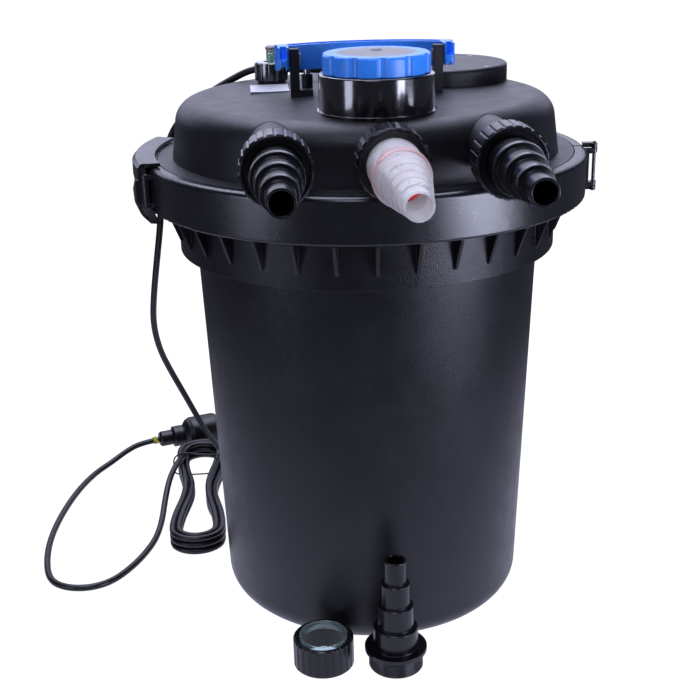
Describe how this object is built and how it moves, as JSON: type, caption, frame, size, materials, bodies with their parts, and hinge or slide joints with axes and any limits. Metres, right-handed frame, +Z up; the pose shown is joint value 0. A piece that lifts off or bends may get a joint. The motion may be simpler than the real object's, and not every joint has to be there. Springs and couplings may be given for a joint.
{
  "type": "pressurized pond filter",
  "caption": "Round pressure tub with a domed lid, clamp ring with a latch, three hose ports, a selector knob, a pump handle and a mains lead.",
  "frame": {"origin": "middle of the tub's flat foot, where it stands on the floor", "axes": "+Z up, -Y the way the three hose ports point, +X to the right as seen from the ports"},
  "size_m": [0.554, 0.7021, 0.5354],
  "materials": {
    "tub_black": "fine-grained charcoal black",
    "lid_black": "fine-grained charcoal black",
    "clamp_black": "fine-grained charcoal black",
    "gloss_black": "polished black",
    "fitting_black": "satin black",
    "knob_blue": "glossy blue",
    "disc_grey": "pale grey",
    "clear_plastic": "clear plastic",
    "quartz": "clear quartz",
    "lamp_glass": "clear lamp glass",
    "seal_rubber": "matte",
    "ring_red": "satin red",
    "steel": "brushed",
    "board_green": "matte",
    "float_green": "satin green",
    "cap_grey": "matte pale grey",
    "label_silver": "brushed, bare",
    "inner_grey": "matte dark grey",
    "foam_blue": "coarse open foam",
    "foam_red": "medium open foam",
    "foam_yellow": "fine open foam",
    "cord_black": "satin black",
    "tie_yellow": "satin pale yellow"
  },
  "bodies": {
    "filter": {"tub": "tub_black", "tub_seal": "seal_rubber", "lid": "lid_black", "valve_neck": "gloss_black", "port_left": "lid_black", "port_right": "lid_black", "port_middle": "lid_black", "hose_tail_left": "fitting_black", "hose_tail_right": "fitting_black", "clear_tail": "clear_plastic", "flow_ring": "ring_red", "tail_gaskets": "seal_rubber", "clamp_rear": "clamp_black", "ballast_housing": "lid_black", "ballast_cover": "lid_black", "cover_screws": "steel", "ballast_board": "board_green", "lamp_socket": "inner_grey", "quartz_sleeve": "quartz", "uv_lamp": "lamp_glass", "lamp_guard": "inner_grey", "indicator_base": "lid_black", "indicator_nut": "gloss_black", "indicator_tube": "clear_plastic", "indicator_cap": "cap_grey", "label_plate": "label_silver", "guide_posts": "lid_black", "post_clips": "steel", "rod_bushes": "lid_black", "upper_grid": "inner_grey", "foam_coarse": "foam_blue", "foam_medium": "foam_red", "foam_fine": "foam_yellow", "inlet_tube": "inner_grey", "cable_gland": "fitting_black", "cord_lead": "cord_black", "cord_loop": "cord_black", "cord_hank": "cord_black", "cord_ties": "tie_yellow", "plug_body": "cord_black", "plug_pins": "steel"},
    "pump": {"handle": "knob_blue", "pull_rods": "steel", "rod_nuts": "steel", "lift_plate": "inner_grey"},
    "selector": {"valve_knob": "knob_blue", "knob_disc": "disc_grey", "valve_spindle": "inner_grey", "valve_rotor": "inner_grey"},
    "nut_left": {"union_nut_left": "fitting_black"},
    "nut_middle": {"union_nut_middle": "fitting_black"},
    "nut_right": {"union_nut_right": "fitting_black"},
    "clamp_gate": {"clamp_front": "clamp_black", "hinge_pin": "clamp_black", "latch_pin": "steel"},
    "latch": {"latch_lever": "clamp_black"},
    "float": {"indicator_float": "float_green"},
    "spare_tail": {"spare_hose_tail": "fitting_black"},
    "spare_nut": {"spare_union_nut": "fitting_black", "spare_nut_liner": "clear_plastic"}
  },
  "joints": [
    {"name": "pump_lift", "type": "slide", "parent": "filter", "child": "pump", "axis": [0, 0, 1], "range_m": [0, 0.07], "deforming": ["foam_coarse", "foam_medium", "foam_fine"]},
    {"name": "selector_turn", "type": "hinge", "parent": "filter", "child": "selector", "pos_m": [0, -0.108, 0.5], "axis": [0, 0, 1], "range_deg": [-90, 90]},
    {"name": "nut_left_turn", "type": "hinge", "parent": "filter", "child": "nut_left", "pos_m": [-0.087, -0.22, 0.4635], "axis": [0, -1, 0], "continuous": true},
    {"name": "nut_middle_turn", "type": "hinge", "parent": "filter", "child": "nut_middle", "pos_m": [0, -0.212, 0.4635], "axis": [0, -1, 0], "continuous": true},
    {"name": "nut_right_turn", "type": "hinge", "parent": "filter", "child": "nut_right", "pos_m": [0.087, -0.22, 0.4635], "axis": [0, -1, 0], "continuous": true},
    {"name": "clamp_open", "type": "hinge", "parent": "filter", "child": "clamp_gate", "pos_m": [0.20672, -0.02721, 0.415], "axis": [0, 0, 1], "range_deg": [0, 25]},
    {"name": "latch_open", "type": "hinge", "parent": "clamp_gate", "child": "latch", "pos_m": [-0.19648, -0.05634, 0.415], "axis": [0, 0, 1], "range_deg": [0, 100]},
    {"name": "float_rise", "type": "slide", "parent": "filter", "child": "float", "axis": [0, 0, 1], "range_m": [0, 0.0035]},
    {"name": "spare_tail_lift", "type": "slide", "parent": "filter", "child": "spare_tail", "axis": [0, 0, 1], "range_m": [0, 0.06]},
    {"name": "spare_nut_lift", "type": "slide", "parent": "filter", "child": "spare_nut", "axis": [0, 0, 1], "range_m": [0, 0.06]}
  ]
}
